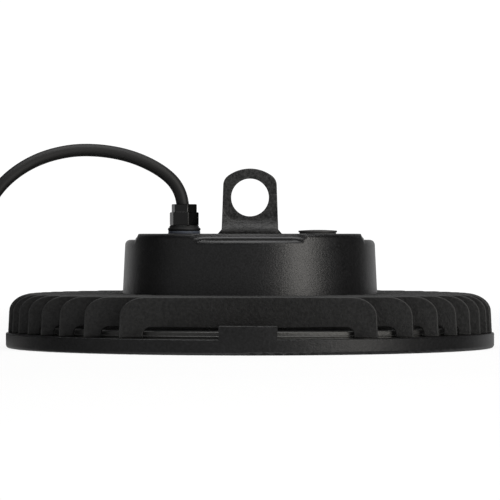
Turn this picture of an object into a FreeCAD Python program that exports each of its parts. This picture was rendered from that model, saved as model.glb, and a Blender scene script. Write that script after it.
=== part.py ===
import FreeCAD, Part
import math
import os

from FreeCAD import Vector

# A round LED high bay light, hung by an eye or stood on its bezel.  Millimetres, +Z up.
# The origin is the centre of the bezel's underside, and the front is towards -Y.

# bezel: the ring that clamps the lens from below
bezel_radius = 150.0
bezel_height = 9.2
bezel_wall = 2.6
bezel_flange = 2.6
bezel_lip_width = 8.6
bezel_lip_thickness = 1.8
bezel_bottom_round = 2.0
bezel_top_round = 0.7
tab_width = 33.8
tab_depth = 5.4
tab_rise = 7.8
tab_round = 0.6

# lens and its gasket
lens_play = 2.1
lens_seat = 6.8
lens_thickness = 2.0
lens_gasket_height = 3.0
lens_gasket_width = 4.6
lens_gasket_setback = 0.8
dome_radius = 8.4
dome_tip_radius = 5.4
dome_height = 1.9

# LED board
pad_thickness = 0.4
board_thickness = 1.6
board_play = 3.0
led_side = 5.0
led_height = 0.6
led_edge_room = 12.0
led_first_ring = 30.0
led_ring_pitch = 35.0
led_spacing = 28.5
connector_length = 12.0
connector_width = 6.0
connector_height = 0.9

# heat sink: a disc with straight parallel fins that follow its round outline
base_play = 2.1
base_thickness = 5.8
base_rim_round = 0.9
fin_pitch = 15.08
fin_edge_room = 18.0
fin_thickness = 2.4
fin_rise = 19.8
fin_crest_chamfer = 0.6
fin_setback = 1.4
fin_foot = 6.0
slot_bite = 10.0
slot_rise = 2.1
slot_corner = 4.0
fin_corner_length = 14.8
fin_corner_height = 11.2
fin_end_draft = 0.6
foot_gap = 0.3
housing_gap = 0.8

# driver housing: a drafted drum with a lobed top
housing_foot_radius = 79.2
housing_draft = 2.75
housing_wall = 3.0
housing_roof = 3.0
housing_gasket_height = 1.0
gasket_setback = 0.4
ledge_height = 66.8
lid_rise = 3.0
lid_notch = 9.0
ledge_round = 1.6

# housing screws, from below through the disc
housing_screw_inset = 7.2
housing_screw_count = 4
housing_boss_radius = 4.6
housing_boss_height = 24.0
m4_shank = 4.0
m4_head = 7.0
m4_head_height = 2.2
m4_length = 18.0

# small screws
m3_shank = 3.0
m3_head = 5.6
m3_head_height = 1.9
bezel_screw_count = 8
bezel_screw_inset = 13.7
bezel_screw_length = 9.4
bezel_boss_radius = 3.4
board_screw_count = 6
board_screw_circle = 82.0
board_screw_turn = 15.0
board_screw_length = 5.6
driver_screw_length = 6.4
screw_play = 0.1
head_play = 0.3
tip_play = 0.4

# suspension eye
hook_hole = 23.8
hook_web = 5.9
hook_height = 40.1
hook_top_radius = 22.8
hook_corner_radius = 7.4
hook_half_width = 16.3
hook_foot_half_width = 17.4
hook_toe = 2.3
hook_toe_height = 2.6
hook_depth = 26.0
hook_foot_edge = 1.8
hook_flare_radius = 8.0
hook_plate = 9.6
hook_plate_top = 8.4
hook_plan_corner = 4.0
hook_rim = 1.9
hook_recess = 1.3
hook_recess_margin = 2.8
hook_recess_corner = 5.0
hook_edge_round = 0.7
hook_screw_spacing = 22.0
m5_shank = 5.0
m5_head = 8.5
m5_head_height = 3.2
m5_length = 12.0
sealing_washer_radius = 5.6
sealing_washer_height = 1.0

# cable gland
gland_x = -40.5
gland_turn = 11.9
gland_washer_radius = 9.9
gland_washer_height = 1.6
gland_flange_radius = 9.9
gland_flange_height = 3.4
gland_flange_chamfer = 0.7
gland_spigot_radius = 6.0
gland_spigot_height = 4.2
gland_thread_radius = 6.0
gland_thread_length = 12.0
gland_bore = 4.3
gland_nut_flats = 15.2
gland_nut_height = 8.2
gland_cap_flats = 13.4
gland_cap_height = 5.0
gland_cap_bore = 5.3
gland_cavity_radius = 6.2
gland_roof = 5.0
gland_play = 0.1
locknut_flats = 17.0
locknut_height = 4.0

# sensor port, closed with a blanking cap
port_x = 41.7
port_cap_radius = 11.9
port_cap_height = 1.6
port_cap_dome = 0.5
port_gasket_height = 0.8
port_gasket_radius = 11.3
port_thread_radius = 9.0
port_thread_length = 9.0
port_drive_width = 8.0
port_play = 0.15

# LED driver and wiring inside the housing
driver_play = 7.4
driver_width = 62.0
driver_height = 33.0
driver_round = 4.0
driver_y = 6.0
driver_ear = 8.0
driver_ear_width = 20.0
driver_ear_thickness = 2.5
terminal_x = -28.0
terminal_room = 4.4
terminal_length = 34.0
terminal_width = 12.0
terminal_height = 15.0
terminal_ways = 3
terminal_hole = 2.2
earth_x = 26.0
earth_y = -50.0
lead_radius = 0.9
lead_spacing = 3.6
lead_height = 22.0
lead_bend = 6.0
lead_y = -46.0
grommet_radius = 5.0
grommet_flange = 6.6
grommet_lip = 1.2

# supply cord, its route from inside the gland to the coil, chosen by hand
cord_diameter = 7.8
cord_play = 0.1
cord_route = [
    (-40.5, 0.0, 68.0),
    (-40.5, 0.0, 87.6),
    (-46.4, -0.5, 99.4),
    (-56.0, -1.0, 107.6),
    (-73.0, -2.0, 116.4),
    (-92.0, -4.0, 121.4),
    (-112.0, -8.0, 121.0),
    (-133.0, -13.0, 114.6),
    (-151.0, -18.0, 101.6),
    (-163.0, -20.0, 83.0),
    (-168.5, -14.0, 61.5),
    (-170.5, -1.5, 41.0),
    (-171.2, 15.0, 26.0),
    (-171.4, 33.0, 16.4),
    (-171.4, 50.0, 12.7),
    (-171.4, 67.0, 12.7),
]
arc_share = 0.45
coil_inner_turn = 39.0
coil_lead = 30.0
coil_rise = 1.0
coil_chamfer = 2.2
tie_thickness = 0.8
tie_width = 4.8
tie_play = 0.1
core_diameter = 2.5
core_length = 26.0
core_offset = 1.5
ferrule_diameter = 1.7
ferrule_length = 8.0

# sizes that follow from the bezel, from the outside in
tab_top = bezel_height + tab_rise
bezel_screw_circle = bezel_radius - bezel_screw_inset
lens_radius = bezel_screw_circle - bezel_boss_radius - lens_play
bezel_window_radius = lens_radius - lens_seat
board_radius = bezel_window_radius - board_play
led_rings = 1 + int((board_radius - led_edge_room - led_first_ring) / led_ring_pitch)
base_radius = bezel_radius - bezel_lip_width - base_play
fin_circle = bezel_radius - fin_setback
foot_circle = fin_circle - fin_foot
slot_circle = base_radius - slot_bite
fins_per_side = int((fin_circle - fin_edge_room) / fin_pitch + 0.5)

# heights that follow from the stack of pieces
lens_top = bezel_flange + lens_thickness
base_bottom = lens_top + lens_gasket_height
base_top = base_bottom + base_thickness
fin_underside = base_top + slot_rise
fin_crest = base_top + fin_rise
board_top = base_bottom - pad_thickness
board_bottom = board_top - board_thickness
housing_bottom = base_top + housing_gasket_height
roof_underside = ledge_height - housing_roof
lid_height = ledge_height + lid_rise
hook_top = lid_height + hook_height
hook_hole_height = hook_top - hook_web - hook_hole / 2
hook_recess_bottom = hook_hole_height - hook_hole / 2 - hook_recess_margin
hook_recess_side = hook_half_width - hook_rim
housing_screw_circle = housing_foot_radius - housing_screw_inset
driver_reach = housing_screw_circle - housing_boss_radius - driver_play
driver_length = 2 * (driver_reach - driver_ear)


def vec(x, y, z):
    return Vector(x, y, z)


def cylinder(radius, z_low, z_high, x=0.0, y=0.0):
    return Part.makeCylinder(radius, z_high - z_low, vec(x, y, z_low))


def tube(radius, bore, z_low, z_high, x=0.0, y=0.0):
    return cylinder(radius, z_low, z_high, x, y).cut(cylinder(bore, z_low - 1.0, z_high + 1.0, x, y))


def block(length, width, z_low, z_high, x=0.0, y=0.0):
    corner = vec(x - length / 2, y - width / 2, z_low)
    return Part.makeBox(length, width, z_high - z_low, corner)


def prism(flats, z_low, z_high, x=0.0, y=0.0, turn=0.0):
    """A hexagonal prism across its flats, with a corner turned from +X towards -Y."""
    reach = flats / math.sqrt(3.0)
    corners = []
    for i in range(7):
        angle = math.radians(60.0 * i - turn)
        corners.append(vec(x + reach * math.cos(angle), y + reach * math.sin(angle), z_low))
    return Part.Face(Part.makePolygon(corners)).extrude(vec(0, 0, z_high - z_low))


def revolved(profile):
    """A solid turned from a closed outline of (radius, height) points."""
    points = [vec(r, 0, z) for r, z in profile]
    points.append(points[0])
    return Part.Face(Part.makePolygon(points)).revolve(vec(0, 0, 0), vec(0, 0, 1), 360)


def around(circle, count, first=0.0):
    """Places evenly spread on a circle."""
    places = []
    for i in range(count):
        angle = math.radians(first + 360.0 * i / count)
        places.append((circle * math.cos(angle), circle * math.sin(angle)))
    return places


def united(shapes):
    whole = shapes[0]
    if len(shapes) > 1:
        whole = whole.multiFuse(shapes[1:])
    return whole.removeSplitter()


def without(shape, cutters):
    if not cutters:
        return shape
    return shape.cut(cutters)


def edges_at(shape, test):
    """The edges whose middle passes a test."""
    found = []
    for edge in shape.Edges:
        middle = edge.valueAt((edge.FirstParameter + edge.LastParameter) / 2)
        if test(edge, middle):
            found.append(edge)
    return found


def is_circle(edge, radius, height, tolerance=0.01):
    if not isinstance(edge.Curve, Part.Circle):
        return False
    return abs(edge.Curve.Radius - radius) < tolerance and abs(edge.Curve.Center.z - height) < tolerance


def lathe_screw(shank, head, head_height, length, seat, x, y, upwards=True):
    """A screw whose head lies below its seat and whose shank goes up, or the other way."""
    if upwards:
        return cylinder(head / 2, seat - head_height, seat, x, y).fuse(
            cylinder(shank / 2, seat, seat + length, x, y)
        )
    return cylinder(head / 2, seat, seat + head_height, x, y).fuse(
        cylinder(shank / 2, seat - length, seat, x, y)
    )


# ---- bezel, lens and light board ----


def bezel_places():
    return around(bezel_screw_circle, bezel_screw_count, 180.0 / bezel_screw_count)


def make_bezel():
    inner = bezel_radius - bezel_wall
    lip = bezel_radius - bezel_lip_width
    ring = revolved(
        [
            (bezel_window_radius, 0.0),
            (bezel_radius, 0.0),
            (bezel_radius, bezel_height),
            (lip, bezel_height),
            (lip, bezel_height - bezel_lip_thickness),
            (inner, bezel_height - bezel_lip_thickness),
            (inner, bezel_flange),
            (bezel_window_radius, bezel_flange),
        ]
    )
    ring = ring.makeFillet(
        bezel_bottom_round, edges_at(ring, lambda e, m: is_circle(e, bezel_radius, 0.0))
    )
    ring = ring.makeFillet(
        bezel_top_round, edges_at(ring, lambda e, m: is_circle(e, bezel_radius, bezel_height))
    )
    bosses = [cylinder(bezel_boss_radius, bezel_flange, base_bottom, x, y) for x, y in bezel_places()]
    ring = united([ring, make_tab()] + bosses)
    return without(ring, bezel_screw_holes())


def make_tab():
    """The tab at the front that stands up from the ring, flush with its outside."""
    low = bezel_height - bezel_lip_thickness
    disc = cylinder(bezel_radius, low, tab_top)
    slab = Part.makeBox(
        tab_width, tab_depth, tab_top - low, vec(-tab_width / 2, -bezel_radius, low)
    )
    tab = disc.common(slab)
    upper = edges_at(tab, lambda e, m: m.z > tab_top - 0.01)
    return tab.makeFillet(tab_round, upper)


def bezel_screw_holes():
    holes = []
    seat = bezel_flange - head_play
    for x, y in bezel_places():
        holes.append(cylinder(m3_head / 2 + head_play, -1.0, seat, x, y))
        holes.append(cylinder(m3_shank / 2 + screw_play, seat - 1.0, base_bottom + 1.0, x, y))
    return holes


def make_bezel_screws():
    seat = bezel_flange - head_play
    screws = [
        lathe_screw(m3_shank, m3_head, m3_head_height, bezel_screw_length, seat, x, y)
        for x, y in bezel_places()
    ]
    return Part.makeCompound(screws)


def led_places():
    places = []
    for i in range(led_rings):
        circle = led_first_ring + i * led_ring_pitch
        places += around(circle, int(2 * math.pi * circle / led_spacing), 90.0)
    return places


def make_lens():
    """A clear plate with a shallow tapered lens below each LED."""
    plate = cylinder(lens_radius, bezel_flange, lens_top)
    low = bezel_flange - dome_height
    domes = [
        Part.makeCone(dome_tip_radius, dome_radius, dome_height, vec(x, y, low))
        for x, y in led_places()
    ]
    return united([plate] + domes)


def make_lens_gasket():
    outer = lens_radius - lens_gasket_setback
    return tube(outer, outer - lens_gasket_width, lens_top, base_bottom)


def board_places():
    return around(board_screw_circle, board_screw_count, board_screw_turn)


def make_board():
    board = cylinder(board_radius, board_bottom, board_top)
    holes = [cylinder(m3_shank / 2 + screw_play, 0.0, base_top, x, y) for x, y in board_places()]
    holes.append(cylinder(grommet_radius - grommet_lip, 0.0, base_top, 0.0, lead_y))
    return without(board, holes)


def make_thermal_pad():
    pad = cylinder(board_radius, board_top, base_bottom)
    holes = [cylinder(m3_shank / 2 + screw_play, 0.0, base_top, x, y) for x, y in board_places()]
    holes.append(cylinder(grommet_flange + head_play, 0.0, base_top, 0.0, lead_y))
    holes += [
        cylinder(m4_head / 2 + head_play, 0.0, base_top, x, y) for x, y in housing_screw_places()
    ]
    return without(pad, holes)


def make_leds():
    leds = [
        block(led_side, led_side, board_bottom - led_height, board_bottom, x, y)
        for x, y in led_places()
    ]
    return Part.makeCompound(leds)


def make_led_connector():
    low = board_bottom - connector_height
    body = block(connector_length, connector_width, low, board_bottom, 0.0, lead_y)
    latch = block(connector_length / 3, 1.0, low, board_bottom, 0.0, lead_y - connector_width / 2)
    return united([body, latch])


def make_board_screws():
    screws = []
    for x, y in board_places():
        low = board_bottom - connector_height
        head = cylinder(m3_head / 2, low, board_bottom, x, y)
        shank = cylinder(m3_shank / 2, board_bottom, board_bottom + board_screw_length, x, y)
        screws.append(head.fuse(shank))
    return Part.makeCompound(screws)


# ---- heat sink ----


def fin_places():
    return [(i + 0.5) * fin_pitch for i in range(-fins_per_side, fins_per_side)]


def reach_at(circle, y):
    """Half the chord of a circle at a distance y from its middle."""
    return math.sqrt(max(circle**2 - y**2, 0.0))


def line(a, b):
    return Part.LineSegment(vec(a[0], a[1], 0), vec(b[0], b[1], 0)).toShape()


def quarter_ellipse(centre, half_length, half_height, start, stop):
    """A stretch of an upright ellipse, in the drawing plane."""
    if half_length >= half_height:
        curve = Part.Ellipse(vec(centre[0], centre[1], 0), half_length, half_height)
        return Part.ArcOfEllipse(curve, math.radians(start), math.radians(stop)).toShape()
    curve = Part.Ellipse(
        vec(centre[0], centre[1] + half_height, 0),
        vec(centre[0] - half_length, centre[1], 0),
        vec(centre[0], centre[1], 0),
    )
    return Part.ArcOfEllipse(curve, math.radians(start - 90), math.radians(stop - 90)).toShape()


def half_fin(y):
    """One half of a fin's outline, from its middle to its rounded end, as a flat face."""
    end = reach_at(fin_circle, y)
    foot = reach_at(foot_circle, y)
    inner = reach_at(slot_circle, y)
    root = base_top - base_thickness / 4
    foot_bottom = bezel_height + foot_gap
    shoulder = fin_crest - fin_corner_height
    top_end = end - fin_end_draft
    tip = top_end - fin_corner_length
    edges = []
    if inner > 0:
        edges.append(line((0, root), (inner, root)))
        edges.append(line((inner, root), (inner, fin_underside)))
        edges.append(line((inner, fin_underside), (foot - slot_corner, fin_underside)))
    else:
        edges.append(line((0, fin_underside), (foot - slot_corner, fin_underside)))
    edges.append(
        quarter_ellipse((foot - slot_corner, fin_underside - slot_corner), slot_corner, slot_corner, 0, 90)
    )
    edges.append(line((foot, fin_underside - slot_corner), (foot, foot_bottom)))
    edges.append(line((foot, foot_bottom), (end, foot_bottom)))
    edges.append(line((end, foot_bottom), (top_end, shoulder)))
    edges.append(quarter_ellipse((tip, shoulder), fin_corner_length, fin_corner_height, 0, 90))
    edges.append(line((tip, fin_crest), (0, fin_crest)))
    edges.append(line((0, fin_crest), (0, root if inner > 0 else fin_underside)))
    return Part.Face(Part.Wire(Part.__sortEdges__(edges)))


def make_fin(y):
    face = half_fin(y)
    face.rotate(vec(0, 0, 0), vec(1, 0, 0), 90)
    face.translate(vec(0, y + fin_thickness / 2, 0))
    half = face.extrude(vec(0, -fin_thickness, 0))
    return united([half, half.mirror(vec(0, 0, 0), vec(1, 0, 0))])


def eased_fin(y):
    """A fin with the edges of its crest and ends taken off."""
    fin = make_fin(y)
    upper = edges_at(
        fin,
        lambda e, m: m.z > fin_underside + 0.5 and abs(abs(m.y - y) - fin_thickness / 2) < 0.001,
    )
    return fin.makeChamfer(fin_crest_chamfer, upper)


def make_heat_sink():
    disc = cylinder(base_radius, base_bottom, base_top)
    disc = disc.makeFillet(
        base_rim_round, edges_at(disc, lambda e, m: is_circle(e, base_radius, base_top))
    )
    fins = [eased_fin(y) for y in fin_places()]
    room = Part.makeCone(
        housing_foot_radius + housing_gap,
        housing_radius(fin_crest + 1.0) + housing_gap,
        fin_crest + 1.0 - base_top,
        vec(0, 0, base_top),
    )
    fins = [fin.cut(room) for fin in fins]
    sink = united([disc] + fins)
    return without(sink, heat_sink_holes())


def heat_sink_holes():
    holes = []
    seat = bezel_flange - head_play
    for x, y in bezel_places():
        tip = seat + bezel_screw_length + tip_play
        holes.append(cylinder(m3_shank / 2 + screw_play, base_bottom - 1.0, tip, x, y))
    for x, y in board_places():
        tip = board_bottom + board_screw_length + tip_play
        holes.append(cylinder(m3_shank / 2 + screw_play, base_bottom - 1.0, tip, x, y))
    for x, y in housing_screw_places():
        holes.append(cylinder(m4_head / 2 + head_play, base_bottom - 1.0, housing_screw_seat(), x, y))
        holes.append(cylinder(m4_shank / 2 + screw_play, base_bottom, base_top + 1.0, x, y))
    for x, y in driver_screw_places() + [(earth_x, earth_y)]:
        depth = driver_screw_length - driver_ear_thickness + tip_play
        holes.append(cylinder(m3_shank / 2 + screw_play, base_top - depth, base_top + 1.0, x, y))
    holes.append(cylinder(grommet_radius, base_bottom - 1.0, base_top + 1.0, 0.0, lead_y))
    return holes


# ---- driver housing ----


def housing_radius(z, inset=0.0):
    return housing_foot_radius - (z - housing_bottom) * math.tan(math.radians(housing_draft)) - inset


def housing_screw_places():
    return around(housing_screw_circle, housing_screw_count)


def housing_screw_seat():
    return base_bottom + m4_head_height + head_play


def lid_half_width():
    return housing_radius(lid_height) - lid_notch


def drum(z_low, z_high, inset=0.0):
    low = housing_radius(z_low, inset)
    high = housing_radius(z_high, inset)
    return Part.makeCone(low, high, z_high - z_low, vec(0, 0, z_low))


def lid_block():
    """A square frustum with sides at 45 degrees; inside the drum it leaves four lobes."""
    drop = 1.0
    low = 2 * (lid_half_width() + lid_rise + drop)
    high = 2 * lid_half_width()
    wires = []
    for side, z in ((low, ledge_height - drop), (high, lid_height)):
        h = side / 2
        corners = [vec(-h, -h, z), vec(h, -h, z), vec(h, h, z), vec(-h, h, z), vec(-h, -h, z)]
        wires.append(Part.makePolygon(corners))
    return Part.makeLoft(wires, True, True)


def make_housing():
    body = drum(housing_bottom, ledge_height)
    lobes = drum(ledge_height - 0.5, lid_height).common(lid_block())
    body = united([body, lobes])
    rim = edges_at(
        body,
        lambda e, m: m.z > ledge_height - 0.01 and abs(math.hypot(m.x, m.y) - housing_radius(m.z)) < 0.05,
    )
    body = body.makeFillet(ledge_round, rim)
    room = drum(housing_bottom - 1.0, roof_underside, housing_wall)
    body = body.cut(room)
    bosses = []
    for x, y in housing_screw_places():
        boss = cylinder(housing_boss_radius, housing_bottom, housing_bottom + housing_boss_height, x, y)
        bosses.append(boss.common(drum(housing_bottom, roof_underside, housing_wall / 2)))
    body = united([body] + bosses)
    return without(body, housing_holes())


def housing_holes():
    holes = [
        cylinder(gland_thread_radius + gland_play, roof_underside - 1.0, lid_height + 1.0, gland_x, 0.0),
        cylinder(port_thread_radius + port_play, roof_underside - 1.0, lid_height + 1.0, port_x, 0.0),
    ]
    for x in hook_screw_places():
        holes.append(cylinder(m5_shank / 2 + screw_play, roof_underside - 1.0, lid_height + 1.0, x, 0.0))
    for x, y in housing_screw_places():
        tip = housing_screw_seat() + m4_length + tip_play
        holes.append(cylinder(m4_shank / 2 + screw_play, housing_bottom - 1.0, tip, x, y))
    return holes


def make_housing_gasket():
    return tube(
        housing_foot_radius - gasket_setback,
        housing_radius(housing_bottom, housing_wall) + gasket_setback,
        base_top,
        housing_bottom,
    )


def make_housing_screws():
    screws = [
        lathe_screw(m4_shank, m4_head, m4_head_height, m4_length, housing_screw_seat(), x, y)
        for x, y in housing_screw_places()
    ]
    return Part.makeCompound(screws)


# ---- suspension eye ----


def hook_screw_places():
    return [-hook_screw_spacing / 2, hook_screw_spacing / 2]


def hook_outline():
    """The front outline of the eye: a flared toe, drafted sides, small corners and a top arc."""
    top_centre = hook_top - hook_top_radius
    corner_x = hook_half_width - hook_corner_radius
    reach = hook_top_radius - hook_corner_radius
    corner_z = top_centre + math.sqrt(reach**2 - corner_x**2)
    share = hook_top_radius / reach
    join = (corner_x * share, top_centre + (corner_z - top_centre) * share)
    middle_angle = math.atan2(corner_z - top_centre, corner_x) / 2
    corner_mid = (
        corner_x + hook_corner_radius * math.cos(middle_angle),
        corner_z + hook_corner_radius * math.sin(middle_angle),
    )
    toe = hook_foot_half_width + hook_toe
    toe_top = lid_height + hook_toe_height
    bow = 1.0 - math.sqrt(0.5)
    toe_mid = (toe - hook_toe * (1 - bow), toe_top - hook_toe_height * (1 - bow))

    def at(point, side):
        return vec(side * point[0], point[1], 0)

    edges = []
    for side in (1, -1):
        edges.append(
            Part.Arc(
                at((toe, lid_height), side), at(toe_mid, side), at((hook_foot_half_width, toe_top), side)
            ).toShape()
        )
        edges.append(
            Part.LineSegment(
                at((hook_foot_half_width, toe_top), side), at((hook_half_width, corner_z), side)
            ).toShape()
        )
        edges.append(
            Part.Arc(
                at((hook_half_width, corner_z), side), at(corner_mid, side), at(join, side)
            ).toShape()
        )
    edges.append(Part.Arc(at(join, 1), vec(0, hook_top, 0), at(join, -1)).toShape())
    edges.append(line((toe, lid_height), (-toe, lid_height)))
    return Part.Face(Part.Wire(Part.__sortEdges__(edges)))


def hook_side_profile():
    """The side outline: a foot, a concave flare and a slightly tapered plate."""
    foot = hook_depth / 2
    plate = hook_plate / 2
    top = hook_plate_top / 2
    edge_top = lid_height + hook_foot_edge
    rise = edge_top + hook_flare_radius
    bow = 1.0 - math.sqrt(0.5)
    spread = foot - plate
    middle = (foot - spread * (1 - bow), rise - hook_flare_radius * (1 - bow))
    edges = []
    for side in (1, -1):
        a = vec(side * foot, lid_height, 0)
        b = vec(side * foot, edge_top, 0)
        c = vec(side * middle[0], middle[1], 0)
        d = vec(side * plate, rise, 0)
        e = vec(side * top, hook_top + 1.0, 0)
        edges.append(Part.LineSegment(a, b).toShape())
        edges.append(Part.Arc(b, c, d).toShape())
        edges.append(Part.LineSegment(d, e).toShape())
    edges.append(line((-foot, lid_height), (foot, lid_height)))
    edges.append(line((-top, hook_top + 1.0), (top, hook_top + 1.0)))
    return Part.Face(Part.Wire(Part.__sortEdges__(edges)))


def hook_recess_tool():
    """A flat-bottomed pocket with a round-cornered U outline, open at the top."""
    side = hook_recess_side
    low = hook_recess_bottom
    r = hook_recess_corner
    high = hook_top + 2.0
    bow = 1.0 - math.sqrt(0.5)
    edges = [line((-side + r, low), (side - r, low)), line((-side, high), (side, high))]
    for s in (1, -1):
        a = vec(s * (side - r), low, 0)
        b = vec(s * (side - r * bow), low + r * bow, 0)
        c = vec(s * side, low + r, 0)
        edges.append(Part.Arc(a, b, c).toShape())
        edges.append(Part.LineSegment(c, vec(s * side, high, 0)).toShape())
    return Part.Face(Part.Wire(Part.__sortEdges__(edges)))


def upright(face, depth):
    """A flat drawing stood up in the XZ plane and given a depth along Y."""
    face.rotate(vec(0, 0, 0), vec(1, 0, 0), 90)
    face.translate(vec(0, depth / 2, 0))
    return face.extrude(vec(0, -depth, 0))


def make_hook():
    front = upright(hook_outline(), 2 * hook_depth)
    side = hook_side_profile()
    side.rotate(vec(0, 0, 0), vec(1, 0, 0), 90)
    side.rotate(vec(0, 0, 0), vec(0, 0, 1), 90)
    side.translate(vec(-hook_depth, 0, 0))
    flare = side.extrude(vec(2 * hook_depth, 0, 0))
    hook = front.common(flare)
    toe = 2 * (hook_foot_half_width + hook_toe)
    plan = block(toe, hook_depth, lid_height, hook_top + 1.0)
    corners = edges_at(plan, lambda e, m: abs(e.Length - (hook_top + 1.0 - lid_height)) < 0.01)
    hook = hook.common(plan.makeFillet(hook_plan_corner, corners))
    web = hook_plate / 2 - hook_recess
    for way in (1, -1):
        pocket = hook_recess_tool()
        pocket.rotate(vec(0, 0, 0), vec(1, 0, 0), 90)
        pocket.translate(vec(0, way * web, 0))
        hook = hook.cut(pocket.extrude(vec(0, way * hook_depth, 0)))
    hole = Part.makeCylinder(hook_hole / 2, hook_depth, vec(0, -hook_depth / 2, hook_hole_height), vec(0, 1, 0))
    hook = hook.cut(hole)
    for x in hook_screw_places():
        tip = roof_underside - sealing_washer_height + m5_length + tip_play
        hook = hook.cut(cylinder(m5_shank / 2 + screw_play, lid_height - 1.0, tip, x, 0.0))
    return hook.makeFillet(hook_edge_round, hook_rim_edges(hook))


def hook_rim_edges(hook):
    """The outer edges of both rims, from the flare up and over the top."""
    rim = hook_half_width - hook_rim / 2
    top = hook_top_radius - hook_rim / 2
    middle = hook_top - hook_top_radius

    def outside(edge, point):
        if point.z < lid_height + hook_foot_edge + hook_flare_radius or abs(point.y) < hook_plate_top / 4:
            return False
        return abs(point.x) > rim or math.hypot(point.x, point.z - middle) > top

    return edges_at(hook, outside)


def make_hook_screws():
    seat = roof_underside - sealing_washer_height
    screws = [
        lathe_screw(m5_shank, m5_head, m5_head_height, m5_length, seat, x, 0.0)
        for x in hook_screw_places()
    ]
    return Part.makeCompound(screws)


def make_hook_washers():
    low = roof_underside - sealing_washer_height
    washers = [
        tube(sealing_washer_radius, m5_shank / 2 + screw_play, low, roof_underside, x)
        for x in hook_screw_places()
    ]
    return Part.makeCompound(washers)


# ---- cable gland ----

gland_flange_bottom = lid_height + gland_washer_height
gland_nut_bottom = gland_flange_bottom + gland_flange_height
gland_cap_bottom = gland_nut_bottom + gland_nut_height
gland_top = gland_cap_bottom + gland_cap_height


def make_gland_washer():
    return tube(
        gland_washer_radius, gland_thread_radius + gland_play, lid_height, gland_flange_bottom, gland_x
    )


def make_gland_body():
    flange = cylinder(gland_flange_radius, gland_flange_bottom, gland_nut_bottom, gland_x)
    rims = edges_at(
        flange, lambda e, m: is_circle(e, gland_flange_radius, gland_nut_bottom)
    )
    flange = flange.makeChamfer(gland_flange_chamfer, rims)
    thread = cylinder(
        gland_thread_radius, gland_flange_bottom - gland_thread_length, gland_flange_bottom, gland_x
    )
    spigot_top = gland_nut_bottom + gland_spigot_height
    spigot = cylinder(gland_spigot_radius, gland_nut_bottom, spigot_top, gland_x)
    body = united([flange, thread, spigot])
    return body.cut(cylinder(gland_bore, 0.0, gland_top, gland_x))


def make_gland_seal():
    low = gland_nut_bottom + gland_spigot_height
    high = gland_top - gland_roof
    return tube(
        gland_cavity_radius - gland_play, cord_diameter / 2 + cord_play, low, high, gland_x
    )


def make_gland_nut():
    lower = prism(gland_nut_flats, gland_nut_bottom, gland_cap_bottom, gland_x, 0.0, gland_turn)
    upper = prism(gland_cap_flats, gland_cap_bottom, gland_top, gland_x, 0.0, gland_turn)
    nut = united([lower, upper])
    nut = nut.cut(cylinder(gland_cavity_radius, gland_nut_bottom - 1.0, gland_top - gland_roof, gland_x))
    return nut.cut(cylinder(gland_cap_bore, gland_nut_bottom, gland_top + 1.0, gland_x))


def make_gland_locknut():
    low = roof_underside - locknut_height
    nut = prism(locknut_flats, low, roof_underside, gland_x, 0.0, gland_turn)
    return nut.cut(cylinder(gland_thread_radius + gland_play, low - 1.0, roof_underside + 1.0, gland_x))


# ---- sensor port ----


def make_port_gasket():
    return tube(
        port_gasket_radius,
        port_thread_radius + port_play,
        lid_height,
        lid_height + port_gasket_height,
        port_x,
    )


def make_port_cap():
    """A screwed blanking cap with a slightly crowned head and a cross slot inside."""
    seat = lid_height + port_gasket_height
    top = seat + port_cap_height
    head = cylinder(port_cap_radius, seat, top, port_x)
    ball = (port_cap_radius**2 + port_cap_dome**2) / (2 * port_cap_dome)
    head = head.common(Part.makeSphere(ball, vec(port_x, 0, top - ball)))
    stem = cylinder(port_thread_radius, seat - port_thread_length, seat + port_cap_height / 2, port_x)
    cap = united([head, stem])
    inside = cylinder(port_thread_radius - housing_wall, 0.0, seat - port_cap_height / 2, port_x)
    return cap.cut(inside)


# ---- LED driver and wiring ----


def driver_screw_places():
    reach = driver_length / 2 + driver_ear / 2
    return [(-reach, driver_y), (reach, driver_y)]


def make_driver():
    case = block(driver_length, driver_width, base_top, base_top + driver_height, 0.0, driver_y)
    uprights = edges_at(case, lambda e, m: abs(e.Length - driver_height) < 0.01)
    case = case.makeFillet(driver_round, uprights)
    ears = block(
        driver_length + 2 * driver_ear,
        driver_ear_width,
        base_top,
        base_top + driver_ear_thickness,
        0.0,
        driver_y,
    )
    driver = united([case, ears])
    holes = [
        cylinder(m3_shank / 2 + screw_play, 0.0, base_top + driver_ear_thickness + 1.0, x, y)
        for x, y in driver_screw_places()
    ]
    return without(driver, holes)


def make_driver_screws():
    seat = base_top + driver_ear_thickness
    screws = [
        lathe_screw(m3_shank, m3_head, m3_head_height, driver_screw_length, seat, x, y, False)
        for x, y in driver_screw_places()
    ]
    return Part.makeCompound(screws)


def terminal_middle():
    """How far forward the terminal block sits, with its outer corners clear of the wall."""
    wall = housing_radius(base_top + terminal_height, housing_wall) - terminal_room
    corner = abs(terminal_x) + terminal_length / 2
    return terminal_width / 2 - math.sqrt(wall**2 - corner**2)


def make_terminal_block():
    top = base_top + terminal_height
    terminal_y = terminal_middle()
    body = block(terminal_length, terminal_width, base_top, top, terminal_x, terminal_y)
    pitch = terminal_length / terminal_ways
    holes = []
    for i in range(terminal_ways):
        x = terminal_x + (i - (terminal_ways - 1) / 2) * pitch
        holes.append(cylinder(terminal_hole, top - terminal_height / 3, top + 1.0, x, terminal_y))
        holes.append(
            Part.makeCylinder(
                terminal_hole,
                2 * terminal_width,
                vec(x, terminal_y - terminal_width, base_top + terminal_height / 3),
                vec(0, 1, 0),
            )
        )
    return without(body, holes)


def make_earth_screw():
    length = driver_screw_length - driver_ear_thickness
    return lathe_screw(m3_shank, m3_head, m3_head_height, length, base_top, earth_x, earth_y, False)


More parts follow.
